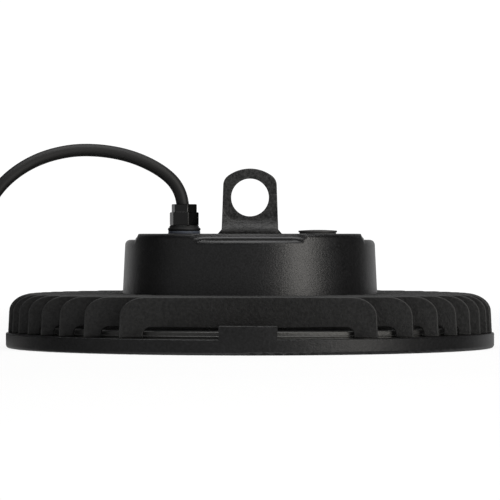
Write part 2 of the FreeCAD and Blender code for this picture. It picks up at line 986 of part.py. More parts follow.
def make_wire_grommet():
    low = base_bottom
    body = cylinder(grommet_radius - gland_play, low, base_top, 0.0, lead_y)
    flange = cylinder(grommet_flange, base_top, base_top + grommet_lip, 0.0, lead_y)
    grommet = united([body, flange])
    bores = [
        cylinder(lead_radius + gland_play, low - 1.0, base_top + grommet_lip + 1.0, x, lead_y)
        for x in lead_places()
    ]
    return without(grommet, bores)


def lead_places():
    return [-lead_spacing / 2, lead_spacing / 2]


def make_driver_leads():
    """Two leads from the side of the driver, down through the disc to the board's connector."""
    leads = []
    start = driver_y - driver_width / 2
    height = base_top + lead_height
    for x in lead_places():
        first = Part.LineSegment(vec(x, start, height), vec(x, lead_y + lead_bend, height))
        share = lead_bend * math.sqrt(0.5)
        middle = vec(x, lead_y + lead_bend - share, height - lead_bend + share)
        bend = Part.Arc(vec(x, lead_y + lead_bend, height), middle, vec(x, lead_y, height - lead_bend))
        last = Part.LineSegment(vec(x, lead_y, height - lead_bend), vec(x, lead_y, board_bottom))
        path = Part.Wire([first.toShape(), bend.toShape(), last.toShape()])
        ring = Part.Wire(Part.makeCircle(lead_radius, vec(x, start, height), vec(0, -1, 0)))
        leads.append(path.makePipeShell([ring], True, False))
    return Part.makeCompound(leads)


# ---- supply cord ----


def cord_path(points, share):
    """Straight runs joined by tangent arcs, and the radius of each arc."""
    edges = []
    radii = []
    here = points[0]
    for before, corner, after in zip(points, points[1:], points[2:]):
        back = before.sub(corner)
        ahead = after.sub(corner)
        shorter = min(back.Length, ahead.Length)
        back.normalize()
        ahead.normalize()
        half_turn = (math.pi - back.getAngle(ahead)) / 2
        cut = share * shorter
        radius = cut / math.tan(half_turn)
        radii.append(radius)
        start = corner.add(back.multiply(cut))
        stop = corner.add(ahead.multiply(cut))
        inward = back.add(ahead)
        inward.normalize()
        middle = corner.add(inward.multiply(radius / math.cos(half_turn) - radius))
        edges.append(Part.LineSegment(here, start).toShape())
        edges.append(Part.Arc(start, middle, stop).toShape())
        here = stop
    edges.append(Part.LineSegment(here, points[-1]).toShape())
    return Part.Wire(edges), radii


def make_supply_cord():
    points = [vec(*p) for p in cord_route]
    path, radii = cord_path(points, arc_share)
    first = points[1].sub(points[0])
    ring = Part.Wire(Part.makeCircle(cord_diameter / 2, points[0], first))
    cord = path.makePipeShell([ring], True, False)
    ideal = math.pi * cord_diameter**2 / 4 * path.Length
    print("cord radii", [round(r, 1) for r in radii])
    print("cord length", round(path.Length, 1), "volume", round(cord.Volume), "of", round(ideal))
    return cord


def coil_centre():
    """The coil's middle: its outer turn is in line with the end of the cord's route."""
    end = cord_route[-1]
    return end[0] - coil_outer_turn(), end[1] + coil_lead


def coil_outer_turn():
    return coil_inner_turn + cord_diameter


def coil_levels():
    """The heights of the middle of the two layers of turns."""
    low = coil_rise + cord_diameter / 2
    return low, low + cord_diameter


def make_cord_coil():
    """The outer shape of the tied coil, with the straight ends that lead in and out."""
    x, y = coil_centre()
    radius = cord_diameter / 2
    low, high = coil_levels()
    ring = tube(coil_outer_turn() + radius, coil_inner_turn - radius, low - radius, high + radius, x, y)
    ring = ring.makeChamfer(coil_chamfer, ring.Edges)
    enter = cord_route[-1]
    lead_in = Part.makeCylinder(radius, coil_lead, vec(*enter), vec(0, 1, 0))
    tail_start = vec(x - coil_outer_turn(), y, low)
    lead_out = Part.makeCylinder(radius, coil_lead, tail_start, vec(0, -1, 0))
    coil = united([ring, lead_in, lead_out])
    print("coil: two layers of two turns, radii", coil_inner_turn, coil_outer_turn())
    return coil


def make_cord_tie():
    """A flat tie round the coil's bundle, on the side away from the light."""
    x, y = coil_centre()
    radius = cord_diameter / 2
    low, high = coil_levels()
    inside_half = cord_diameter + tie_play
    outside_half = inside_half + tie_thickness
    middle = (coil_inner_turn + coil_outer_turn()) / 2
    bottom = low - radius - tie_play
    top = high + radius + tie_play
    outer = block(tie_width, 2 * outside_half, bottom - tie_thickness, top + tie_thickness, x, y - middle)
    inner = block(2 * tie_width, 2 * inside_half, bottom, top, x, y - middle)
    return outer.cut(inner)


def tail_end():
    """The end of the cord's sheath, where the cores come out."""
    x, y = coil_centre()
    return x - coil_outer_turn(), y - coil_lead, coil_levels()[0]


def core_place(turn):
    x, y, z = tail_end()
    angle = math.radians(turn)
    return x + core_offset * math.cos(angle), y, z + core_offset * math.sin(angle)


core_turns = {"core_live": 90.0, "core_neutral": 210.0, "core_earth": 330.0}


def make_core(turn):
    x, y, z = core_place(turn)
    return Part.makeCylinder(core_diameter / 2, core_length, vec(x, y, z), vec(0, -1, 0))


def make_ferrules():
    ferrules = []
    for turn in core_turns.values():
        x, y, z = core_place(turn)
        start = vec(x, y - core_length, z)
        ferrules.append(Part.makeCylinder(ferrule_diameter / 2, ferrule_length, start, vec(0, -1, 0)))
    return Part.makeCompound(ferrules)


def all_nodes():
    nodes = {
        "bezel": make_bezel(),
        "bezel_screws": make_bezel_screws(),
        "lens": make_lens(),
        "lens_gasket": make_lens_gasket(),
        "led_board": make_board(),
        "leds": make_leds(),
        "led_connector": make_led_connector(),
        "board_screws": make_board_screws(),
        "thermal_pad": make_thermal_pad(),
        "heat_sink": make_heat_sink(),
        "driver_housing": make_housing(),
        "housing_gasket": make_housing_gasket(),
        "housing_screws": make_housing_screws(),
        "hook": make_hook(),
        "hook_screws": make_hook_screws(),
        "hook_washers": make_hook_washers(),
        "gland_washer": make_gland_washer(),
        "gland_body": make_gland_body(),
        "gland_seal": make_gland_seal(),
        "gland_nut": make_gland_nut(),
        "gland_locknut": make_gland_locknut(),
        "port_cap": make_port_cap(),
        "port_gasket": make_port_gasket(),
        "led_driver": make_driver(),
        "driver_screws": make_driver_screws(),
        "terminal_block": make_terminal_block(),
        "earth_screw": make_earth_screw(),
        "wire_grommet": make_wire_grommet(),
        "driver_leads": make_driver_leads(),
        "supply_cord": make_supply_cord(),
        "cord_coil": make_cord_coil(),
        "cord_tie": make_cord_tie(),
        "core_ferrules": make_ferrules(),
    }
    for name, turn in core_turns.items():
        nodes[name] = make_core(turn)
    return nodes


def main():
    os.makedirs("parts", exist_ok=True)
    for name, shape in all_nodes().items():
        if not shape.isValid():
            print("not valid:", name)
        shape.exportStep("parts/" + name + ".step")
        print(name, len(shape.Solids), round(shape.Volume))


main()
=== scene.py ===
import math

import bmesh
import bpy
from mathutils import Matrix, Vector


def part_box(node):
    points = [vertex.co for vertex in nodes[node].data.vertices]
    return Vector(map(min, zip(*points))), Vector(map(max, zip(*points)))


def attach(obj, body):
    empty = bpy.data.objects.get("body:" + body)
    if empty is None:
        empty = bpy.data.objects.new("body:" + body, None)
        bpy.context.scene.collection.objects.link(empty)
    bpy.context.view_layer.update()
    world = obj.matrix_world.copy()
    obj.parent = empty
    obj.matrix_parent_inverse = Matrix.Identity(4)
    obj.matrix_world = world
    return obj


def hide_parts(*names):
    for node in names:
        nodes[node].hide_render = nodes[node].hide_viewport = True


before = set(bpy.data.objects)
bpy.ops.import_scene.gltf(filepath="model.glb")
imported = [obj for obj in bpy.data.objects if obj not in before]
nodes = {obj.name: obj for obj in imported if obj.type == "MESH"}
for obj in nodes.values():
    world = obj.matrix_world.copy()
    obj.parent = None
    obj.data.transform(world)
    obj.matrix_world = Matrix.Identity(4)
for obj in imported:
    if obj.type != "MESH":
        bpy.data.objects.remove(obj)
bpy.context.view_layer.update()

scene = bpy.context.scene
print("frame loaded,", len(nodes), "CAD nodes")


class Value:  # a node socket that takes part in plain arithmetic
    def __init__(self, finish, socket):
        self.finish = finish
        self.socket = socket

    def math(self, operation, *others):
        sockets = dict(enumerate((self, *others)))
        return self.finish.node("ShaderNodeMath", {"operation": operation}, sockets)

    def __add__(self, other):
        return self.math("ADD", other)

    def __radd__(self, other):
        return self.math("ADD", other)

    def __sub__(self, other):
        return self.math("SUBTRACT", other)

    def __rsub__(self, other):
        return self.finish.plain(other).math("SUBTRACT", self)

    def __mul__(self, other):
        return self.math("MULTIPLY", other)

    def __rmul__(self, other):
        return self.math("MULTIPLY", other)


class Tree:  # a node tree, for a material or for a pattern of pieces
    def feed(self, socket, item):
        if isinstance(item, Value):
            self.tree.links.new(item.socket, socket)
        elif item is not None:
            socket.default_value = item

    def node(self, kind, settings=None, sockets=None, output=0):
        made = self.tree.nodes.new(kind)
        for key, setting in (settings or {}).items():
            if key == "stops":
                ramp = made.color_ramp
                while len(ramp.elements) < len(setting):
                    ramp.elements.new(1.0)
                for element, (place, shade) in zip(ramp.elements, setting):
                    element.position = place
                    element.color = (*shade, 1.0)
            else:
                setattr(made, key, setting)
        for key, item in (sockets or {}).items():
            for one in item if isinstance(item, list) else [item]:
                self.feed(made.inputs[key], one)
        return Value(self, made.outputs[output])

    def plain(self, number):
        return number if isinstance(number, Value) else self.node(
            "ShaderNodeMath", {"operation": "ADD"}, {0: number, 1: 0.0})

    def parts(self, vector):
        made = self.node("ShaderNodeSeparateXYZ", None, {"Vector": vector}).socket.node
        return [Value(self, made.outputs[axis]) for axis in "XYZ"]

    def mixColour(self, factor, a, b, blend="MIX"):
        a, b = (side if isinstance(side, Value) else (*side, 1.0) for side in (a, b))
        return self.node(
            "ShaderNodeMix", {"data_type": "RGBA", "blend_type": blend}, {0: factor, 6: a, 7: b}, 2)


class Finish(Tree):  # one material
    def __init__(self, name):
        self.material = bpy.data.materials.new(name)
        self.material.use_nodes = True
        self.tree = self.material.node_tree
        self.tree.nodes.clear()
        self.end = self.tree.nodes.new("ShaderNodeOutputMaterial")

    def place(self):
        return self.node("ShaderNodeTexCoord", output="Object")

    def step(self, high, low):  # one where the first is above the second
        return self.plain(high).math("GREATER_THAN", low)

    def noise(self, scale, detail=2.0, rough=0.5, stretch=None):
        where = self.place()
        if stretch:
            where = self.node("ShaderNodeMapping", None, {"Vector": where, "Scale": stretch})
        return self.node("ShaderNodeTexNoise", None, {
            "Vector": where, "Scale": scale, "Detail": detail, "Roughness": rough})

    def between(self, value, low, high, newLow=0.0, newHigh=1.0):
        return self.node("ShaderNodeMapRange", {"clamp": True}, {
            "Value": value, "From Min": low, "From Max": high, "To Min": newLow, "To Max": newHigh})

    def bump(self, height, strength, distance):
        return self.node("ShaderNodeBump", None, {
            "Height": height, "Strength": strength, "Distance": distance})

    def principled(self, sockets):
        shader = self.node("ShaderNodeBsdfPrincipled", None, sockets)
        self.tree.links.new(shader.socket, self.end.inputs["Surface"])
        return self.material


def tint(red, green, blue):  # display values from 0 to 255, as scene values
    parts = []
    for part in (red, green, blue):
        share = part / 255.0
        parts.append(share / 12.92 if share <= 0.04045 else ((share + 0.055) / 1.055) ** 2.4)
    return tuple(parts)


coat = {
    "housing": {"shade": (18, 18, 19), "rough": 0.3, "ior": 1.5,
                "grain": 900.0, "depth": 0.00028, "strength": 0.65},
    "sink": {"shade": (16, 16, 16), "rough": 0.5, "ior": 1.43,
             "grain": 600.0, "depth": 0.0005, "strength": 0.7},
    "bezel": {"shade": (12, 12, 13), "rough": 0.4, "ior": 1.43,
              "grain": 600.0, "depth": 0.0004, "strength": 0.6},
    "hook": {"shade": (38, 38, 38), "rough": 0.42, "ior": 1.45,
             "grain": 600.0, "depth": 0.0007, "strength": 0.7},
}
coatLook = {
    "sparkleScale": 3.2,  # how much finer the sparkle is than the peel
    "sparkleShare": 0.3,
    "cloudScale": 38.0,
    "cloudShare": 0.15,
    "contrast": (0.38, 0.62),
    "glossSpread": 0.1,
    "deep": 0.1,
    "pale": 2.6,
    # the fins' paler edges are painted highlight along their roundings, and also coat worn thin there
    "edgeWearAndHighlight": 5.0,
}
bareRim = {"inner": 0.1378, "outer": 0.1398, "top": 0.0136, "shade": (86, 86, 85), "metal": 0.9}


def powderCoat(part):
    # orange peel under fine sparkle, with slow clouds in its gloss
    how, look = coat[part], coatLook
    finish = Finish("powderCoat" + part.capitalize())
    peel = finish.noise(how["grain"], 3.0, 0.55)
    sparkle = finish.noise(how["grain"] * look["sparkleScale"], 2.0, 0.6)
    grain = (1 - look["sparkleShare"]) * peel + look["sparkleShare"] * sparkle
    cloud = finish.noise(look["cloudScale"], 3.0, 0.55)
    shade = tint(*how["shade"])
    deep, pale, wearAndHighlight = (
        tuple(look[tone] * channel for channel in shade) for tone in ("deep", "pale", "edgeWearAndHighlight"))
    speckle = cloud * look["cloudShare"] + grain * (1 - look["cloudShare"])
    body = finish.mixColour(finish.between(speckle, *look["contrast"]), deep, pale)
    metal = None
    rough = how["rough"] - look["glossSpread"] / 2 + look["glossSpread"] * cloud
    if part == "sink":  # the base plate's edge is machined after coating
        x, y, z = finish.parts(finish.place())
        radius = (x * x + y * y).math("SQRT")
        bare = finish.step(radius, bareRim["inner"]) * finish.step(bareRim["outer"], radius)
        bare = bare * finish.step(bareRim["top"], z)
        # the fins' rounded edges are painted paler: a painted highlight, and coat worn thin at the edges
        edge = finish.node("ShaderNodeAttribute", {"attribute_name": "edge"}, output="Fac")
        body = finish.mixColour(edge, body, wearAndHighlight)
        body = finish.mixColour(bare, body, tint(*bareRim["shade"]))
        metal = bareRim["metal"] * bare
    normal = finish.bump(grain, how["strength"], how["depth"])
    return finish.principled({
        "Base Color": body, "Roughness": rough, "Metallic": metal, "Normal": normal, "IOR": how["ior"]})


plastics = {
    "glandNylon": {"shade": (4, 4, 4), "rough": 0.22, "grain": 700.0, "strength": 0.2, "spread": 0.14},
    "collarNylon": {"shade": (9, 9, 10), "rough": 0.6, "grain": 900.0, "strength": 0.25, "spread": 0.14},
    "capNylon": {"shade": (76, 76, 76), "rough": 0.6, "grain": 1100.0, "strength": 0.2, "spread": 0.14},
    "washerNylon": {"shade": (92, 98, 110), "rough": 0.4, "grain": 700.0, "strength": 0.12, "spread": 0.05},
    "blackRubber": {"shade": (24, 24, 24), "rough": 0.62, "grain": 1400.0, "strength": 0.3, "spread": 0.14},
    "silicone": {"shade": (196, 198, 198), "rough": 0.5, "grain": 900.0, "strength": 0.2, "spread": 0.05},
    "whitePlastic": {"shade": (228, 226, 220), "rough": 0.4, "grain": 900.0, "strength": 0.12,
                     "spread": 0.04},
    "brownPvc": {"shade": (96, 56, 34), "rough": 0.4, "grain": 1300.0, "strength": 0.12, "spread": 0.08},
    "bluePvc": {"shade": (34, 84, 160), "rough": 0.4, "grain": 1300.0, "strength": 0.12, "spread": 0.08},
}


def mouldedPlastic(name):
    how = plastics[name]
    finish = Finish(name)
    fine = finish.noise(how["grain"], 2.0, 0.5)
    flow = finish.noise(60.0, 2.0, 0.5)
    colour = tint(*how["shade"])
    darker = tuple((1 - how["spread"]) * part for part in colour)
    lighter = tuple((1 + how["spread"]) * part for part in colour)
    return finish.principled({
        "Base Color": finish.mixColour(finish.between(flow, 0.3, 0.7), darker, lighter),
        "Roughness": how["rough"] - 0.04 + 0.08 * flow,
        "Normal": finish.bump(fine, how["strength"], 0.00003),
        "IOR": 1.5,
    })


def rubberSheath():
    finish = Finish("rubberSheath")
    fine = finish.noise(2400.0, 3.0, 0.6)
    dust = finish.noise(90.0, 3.0, 0.6)
    body = finish.mixColour(finish.between(dust, 0.35, 0.75), tint(13, 13, 13), tint(20, 20, 20))
    return finish.principled({
        "Base Color": body,
        "Roughness": 0.5 + 0.12 * dust,
        "Normal": finish.bump(fine, 0.3, 0.00005),
        "IOR": 1.5,
    })


lensSheet = {"haze": 0.1, "hazeSpread": 0.05, "domeHaze": 0.26, "domeDepth": 0.0018}


def clearLens():
    # clear sheet that lets the board show through, with more haze in its domes
    how = lensSheet
    finish = Finish("clearLens")
    height = finish.parts(finish.place())[2]
    dome = finish.step(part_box("lens")[0].z + how["domeDepth"], height)
    flow = finish.noise(25.0, 2.0, 0.5)
    return finish.principled({
        "Base Color": (0.6, 0.66, 0.7, 1.0),
        "Roughness": 0.06 + 0.05 * flow,
        "Alpha": how["haze"] + how["hazeSpread"] * flow + how["domeHaze"] * dome,
        "IOR": 1.49,
        "Coat Weight": 0.6,
    })


def boardSolderMask():
    finish = Finish("boardSolderMask")
    weave = finish.noise(240.0, 2.0, 0.5)
    body = finish.mixColour(finish.between(weave, 0.4, 0.6), tint(226, 228, 226), tint(238, 239, 237))
    return finish.principled({
        "Base Color": body, "Roughness": 0.32 + 0.08 * weave,
        "Normal": finish.bump(weave, 0.1, 0.00003)})


def phosphor():
    finish = Finish("phosphor")
    grain = finish.noise(3200.0, 2.0, 0.6)
    body = finish.mixColour(finish.between(grain, 0.3, 0.7), tint(222, 168, 20), tint(236, 190, 40))
    return finish.principled({
        "Base Color": body, "Roughness": 0.45 + 0.15 * grain, "Coat Weight": 0.4,
        "Normal": finish.bump(grain, 0.2, 0.00003)})


def zincSteel():
    finish = Finish("zincSteel")
    brush = finish.noise(500.0, 3.0, 0.6)
    stain = finish.noise(110.0, 3.0, 0.6)
    body = finish.mixColour(finish.between(stain, 0.3, 0.7), tint(168, 170, 172), tint(196, 197, 198))
    return finish.principled({
        "Base Color": body, "Metallic": 1.0, "Roughness": 0.24 + 0.18 * brush,
        "Normal": finish.bump(brush, 0.15, 0.00003)})


def driverCase():
    finish = Finish("driverCase")
    brush = finish.noise(60.0, 3.0, 0.6, (1.0, 24.0, 24.0))
    body = finish.mixColour(finish.between(brush, 0.3, 0.7), tint(172, 174, 176), tint(196, 198, 199))
    return finish.principled({
        "Base Color": body, "Metallic": 0.9, "Roughness": 0.34 + 0.14 * brush,
        "Normal": finish.bump(brush, 0.12, 0.00004)})


coreStripe = {"height": sum(corner.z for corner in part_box("core_earth")) / 2, "soft": 0.00005}


def earthSheath():  # green below and yellow above
    finish = Finish("earthSheath")
    height = finish.parts(finish.place())[2]
    low, high = coreStripe["height"] - coreStripe["soft"], coreStripe["height"] + coreStripe["soft"]
    body = finish.mixColour(finish.between(height, low, high), tint(46, 128, 60), tint(232, 206, 40))
    fine = finish.noise(1500.0, 2.0, 0.5)
    return finish.principled({
        "Base Color": body, "Roughness": 0.4 + 0.08 * fine, "Normal": finish.bump(fine, 0.15, 0.00003)})


finishes = {part: powderCoat(part) for part in coat}
finishes |= {name: mouldedPlastic(name) for name in plastics}
finishes |= {
    "rubberSheath": rubberSheath(),
    "clearLens": clearLens(),
    "boardSolderMask": boardSolderMask(),
    "phosphor": phosphor(),
    "zincSteel": zincSteel(),
    "driverCase": driverCase(),
    "earthSheath": earthSheath(),
}
wears = {
    "bezel": "bezel",
    "bezel_screws": "zincSteel",
    "lens": "clearLens",
    "lens_gasket": "silicone",
    "led_board": "boardSolderMask",
    "leds": "phosphor",
    "led_connector": "whitePlastic",
    "board_screws": "zincSteel",
    "thermal_pad": "silicone",
    "heat_sink": "sink",
    "driver_housing": "housing",
    "housing_gasket": "blackRubber",
    "housing_screws": "zincSteel",
    "hook": "hook",
    "hook_screws": "zincSteel",
    "hook_washers": "blackRubber",
    "gland_washer": "washerNylon",
    "gland_body": "glandNylon",
    "gland_seal": "blackRubber",
    "gland_nut": "glandNylon",
    "gland_locknut": "glandNylon",
    "port_cap": "capNylon",
    "port_gasket": "blackRubber",
    "led_driver": "driverCase",
    "driver_screws": "zincSteel",
    "terminal_block": "whitePlastic",
    "earth_screw": "zincSteel",
    "wire_grommet": "blackRubber",
    "driver_leads": "blackRubber",
    "supply_cord": "rubberSheath",
    "cord_coil": "rubberSheath",
    "cord_tie": "blackRubber",
    "core_live": "brownPvc",
    "core_neutral": "bluePvc",
    "core_earth": "earthSheath",
    "core_ferrules": "zincSteel",
}
for name, node in nodes.items():
    node.data.materials.clear()
    node.data.materials.append(finishes[wears[name]])
print("finishes made,", len(finishes))


def joinRings(name, rings, closed=False):  # quads between rings of points that match one for one
    build = bmesh.new()
    rows = [[build.verts.new(point) for point in ring] for ring in rings]
    pairs = list(zip(rows, rows[1:]))
    if closed:
        pairs.append((rows[-1], rows[0]))
    for near, far in pairs:
        for i in range(len(near)):
            j = (i + 1) % len(near)
            build.faces.new((near[i], near[j], far[j], far[i]))
    if not closed:
        build.faces.new(rows[0])
        build.faces.new(rows[-1])
    return toMesh(build, name)


def toMesh(build, name, weld=0.000004, sliver=0.000002):
    bmesh.ops.remove_doubles(build, verts=build.verts, dist=weld)
    bmesh.ops.dissolve_degenerate(build, edges=build.edges, dist=sliver)
    bmesh.ops.recalc_face_normals(build, faces=build.faces)
    mesh = bpy.data.meshes.new(name)
    build.to_mesh(mesh)
    build.free()
    return mesh


def turned(name, outline, steps, centre=(0.0, 0.0)):  # an outline of (radius, height), turned round
    rings = []
    for radius, height in outline:
        ring = []
        for i in range(steps):
            angle = 2 * math.pi * i / steps
            x, y = radius * math.cos(angle), radius * math.sin(angle)
            ring.append((centre[0] + x, centre[1] + y, height))
        rings.append(ring)
    return joinRings(name, rings, closed=True)


def shapeOf(thing):  # a plain mesh with the modifiers applied
    bpy.context.view_layer.update()
    graph = bpy.context.evaluated_depsgraph_get()
    mesh = bpy.data.meshes.new_from_object(thing.evaluated_get(graph))
    thing.modifiers.clear()
    return mesh


def dress(mesh, name, finish, slotName, *stoodFor, sharp=32.0):
    piece = bpy.data.objects.new(name, mesh)
    scene.collection.objects.link(piece)
    if not mesh.materials:
        mesh.materials.append(finishes[finish])
    mesh.shade_smooth()
    mesh.set_sharp_from_angle(angle=math.radians(sharp))
    even = piece.modifiers.new("evenNormals", "WEIGHTED_NORMAL")
    even.keep_sharp = True
    piece.data = shapeOf(piece)
    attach(piece, "root")
    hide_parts(*stoodFor)
    return piece


def rounded(distance, radius):  # how far a rounded edge falls away at a distance from its side
    gap = radius - min(max(distance, 0.0), radius)
    return radius - math.sqrt(radius * radius - gap * gap)


def eased(share):
    share = min(max(share, 0.0), 1.0)
    return share * share * (3 - 2 * share)


def arc(start, end, steps):  # the angles of a bend that is given in degrees
    return [math.radians(start + (end - start) * i / steps) for i in range(steps + 1)]


# the drum with its lobed lid, as a skin over a lathe-like grid
housing = {
    "footRadius": 0.0792,
    "draft": 2.75,
    "wall": 0.003,
    "roof": 0.0068,
    "lid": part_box("gland_washer")[0].z,
    "notch": 0.009,
    "ledgeHalf": 0.0374,
    "ledgeEnd": 0.0064,
    # the step down to a ledge, as runs outwards and depths below the lid
    "step": [(-0.0008, 0.0), (-0.0002, 0.00003), (0.0, 0.00015), (0.0009, 0.0019), (0.001, 0.002),
             (0.0017, 0.0026), (0.0018, 0.0027), (0.0019, 0.0036), (0.0021, 0.0037)],
    "stepInner": 0.004,
    "lidShares": (0.0, 0.3, 0.7),
    "pastRim": 0.002,
    "rimRound": 0.0031,
    "rimShares": (1.0, 0.75, 0.54, 0.37, 0.23, 0.12, 0.05, 0.01, 0.0),
    "wallShares": (0.33, 0.66, 1.0),
    "columns": 720,
}


def lidFall(how, run):  # how far the lid has stepped down, by the run outwards
    steps = how["step"]
    for (near, high), (far, low) in zip(steps, steps[1:]):
        if run < far:
            return high + (low - high) * max(run - near, 0.0) / (far - near)
    return steps[-1][1]


def makeHousing(how):
    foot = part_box("driver_housing")[0].z
    slope = math.tan(math.radians(how["draft"]))
    rim = how["footRadius"] - slope * (how["lid"] - foot)
    columns = []
    for i in range(how["columns"]):
        angle = 2 * math.pi * i / how["columns"]
        aside = (angle + math.pi / 4) % (math.pi / 2) - math.pi / 4
        edge = min((rim - how["notch"]) / math.cos(aside), rim + how["pastRim"])
        runs = [share * edge for share in how["lidShares"]] + [edge - how["stepInner"]]
        runs += [edge + run for run, drop in how["step"]]
        runs.append(edge + (rim - how["rimRound"] - edge) / 2)
        runs += [rim - share * how["rimRound"] for share in how["rimShares"]]
        points = []
        for radius in sorted(min(run, rim) for run in runs):
            past = how["ledgeHalf"] - abs(radius * math.sin(aside))
            fall = lidFall(how, radius - edge) * eased(past / how["ledgeEnd"])
            fall += rounded(rim - radius, how["rimRound"])
            points.append((radius + slope * fall, how["lid"] - fall))
        low = points[-1][1]
        for share in how["wallShares"]:
            height = low + share * (foot - low)
            points.append((how["footRadius"] - slope * (height - foot), height))
        roof = how["lid"] - how["roof"]
        inner = how["footRadius"] - how["wall"]
        points += [(inner, foot), (inner - slope * (roof - foot), roof), (0.0, roof)]
        columns.append([(r * math.cos(angle), r * math.sin(angle), z) for r, z in points])
    mesh = joinRings("driverHousing", [list(ring) for ring in zip(*columns)])
    return dress(mesh, "driverHousing", "housing", "powder_coat", "driver_housing", sharp=40.0)


makeHousing(housing)

# the suspension eye: rays from the middle of its hole to its outline, in front and behind
hook = {
    "hole": 0.0116,
    "holeHeight": 0.0921,
    "top": 0.1099,
    "topRadius": 0.0228,
    "cornerRadius": 0.0074,
    "halfWidth": 0.0165,
    "footHalfWidth": 0.0174,
    "toe": 0.0023,
    "toeHeight": 0.0026,
    "footDepth": 0.013,
    "footEdge": 0.0018,
    "flareRadius": 0.008,
    "plate": 0.0048,
    "plateTop": 0.0042,
    "planCorner": 0.004,
    "rim": -0.0024,
    "recess": 0.002,
    "recessBottom": 0.0754,
    "recessCorner": 0.0119,
    "recessEase": 0.0024,
    "edgeRound": 0.0007,
    "holeRound": 0.0004,
    "holeRows": (0.0, 0.0001, 0.0003, 0.0006),
    "edgeShares": (1.0, 0.45, 0.12, 0.0),
    "rows": 26,
    "rowBunching": 1.6,
    "points": {"sole": 14, "toe": 6, "side": 24, "corner": 10, "top": 16},
}


def hookOutline(how, lid):  # the right half, from the middle of the foot up to the middle of the top
    toe = how["footHalfWidth"] + how["toe"]
    count = how["points"]
    points = [(toe * i / count["sole"], lid) for i in range(count["sole"])]
    for i in range(count["toe"]):
        angle = math.pi / 2 * i / count["toe"]
        points.append((toe - how["toe"] * math.sin(angle), lid + how["toeHeight"] * (1 - math.cos(angle))))
    middle = how["top"] - how["topRadius"]
    cornerX = how["halfWidth"] - how["cornerRadius"]
    cornerZ = middle + math.sqrt((how["topRadius"] - how["cornerRadius"]) ** 2 - cornerX**2)
    low = lid + how["toeHeight"]
    for i in range(count["side"]):
        share = i / count["side"]
        points.append((how["footHalfWidth"] + share * (how["halfWidth"] - how["footHalfWidth"]),
                       low + share * (cornerZ - low)))
    turn = math.atan2(cornerZ - middle, cornerX)
    for i in range(count["corner"]):
        angle = turn * i / count["corner"]
        points.append((cornerX + how["cornerRadius"] * math.cos(angle),
                       cornerZ + how["cornerRadius"] * math.sin(angle)))
    for i in range(count["top"] + 1):
        angle = turn + (math.pi / 2 - turn) * i / count["top"]
        points.append((how["topRadius"] * math.cos(angle), middle + how["topRadius"] * math.sin(angle)))
    return points


def hookThickness(how, lid, x, z):  # half the eye's depth
    edgeTop = lid + how["footEdge"]
    rise = edgeTop + how["flareRadius"]
    up = min(max((z - rise) / (how["top"] - rise), 0.0), 1.0)
    depth = how["plate"] + up * (how["plateTop"] - how["plate"])
    if z < rise:
        bend = min((rise - z) / how["flareRadius"], 1.0)
        depth = how["footDepth"] - (how["footDepth"] - how["plate"]) * math.sqrt(1 - bend * bend)
    side = how["halfWidth"] - how["rim"]
    across = abs(x) - (side - how["recessCorner"])
    below = how["recessBottom"] + how["recessCorner"] - z
    inside = min(side - abs(x), z - how["recessBottom"])
    if across > 0 and below > 0:
        inside = how["recessCorner"] - math.hypot(across, below)
    depth -= how["recess"] * eased(inside / how["recessEase"])
    past = abs(x) - (how["footHalfWidth"] + how["toe"] - how["planCorner"])
    if past > 0:
        corner = how["planCorner"]
        depth = min(depth, how["footDepth"] - corner + math.sqrt(max(corner**2 - past**2, 0.0)))
    return depth


def hookRows(how, span):  # where the rows of points lie on a ray, out from the hole's edge
    rows = list(how["holeRows"])
    first, last = rows[-1], span - how["edgeRound"]
    for i in range(how["rows"]):
        share = (i + 1) / (how["rows"] + 1)
        rows.append(first + (last - first) * (1 - (1 - share) ** how["rowBunching"]))
    return rows + [span - how["edgeRound"] * share for share in how["edgeShares"]]


def makeHook(how):
    lid = housing["lid"]
    right = hookOutline(how, lid)
    outline = right + [(-x, z) for x, z in reversed(right[1:-1])]
    rays = []
    for x, z in outline:
        reach = math.hypot(x, z - how["holeHeight"])
        span = reach - how["hole"]
        ray = []
        for out in hookRows(how, span):
            share = (how["hole"] + out) / reach
            px, pz = x * share, how["holeHeight"] + (z - how["holeHeight"]) * share
            depth = hookThickness(how, lid, px, pz)
            depth -= rounded(out, how["holeRound"]) + rounded(span - out, how["edgeRound"])
            ray.append((px, depth, pz))
        rays.append(ray)
    back = [list(ring) for ring in zip(*rays)]
    front = [[(x, -depth, z) for x, depth, z in ring] for ring in back]
    mesh = joinRings("suspensionEye", front + back[::-1], closed=True)
    return dress(mesh, "suspensionEye", "hook", "powder_coat", "hook", sharp=50.0)


makeHook(hook)
print("housing and eye made")


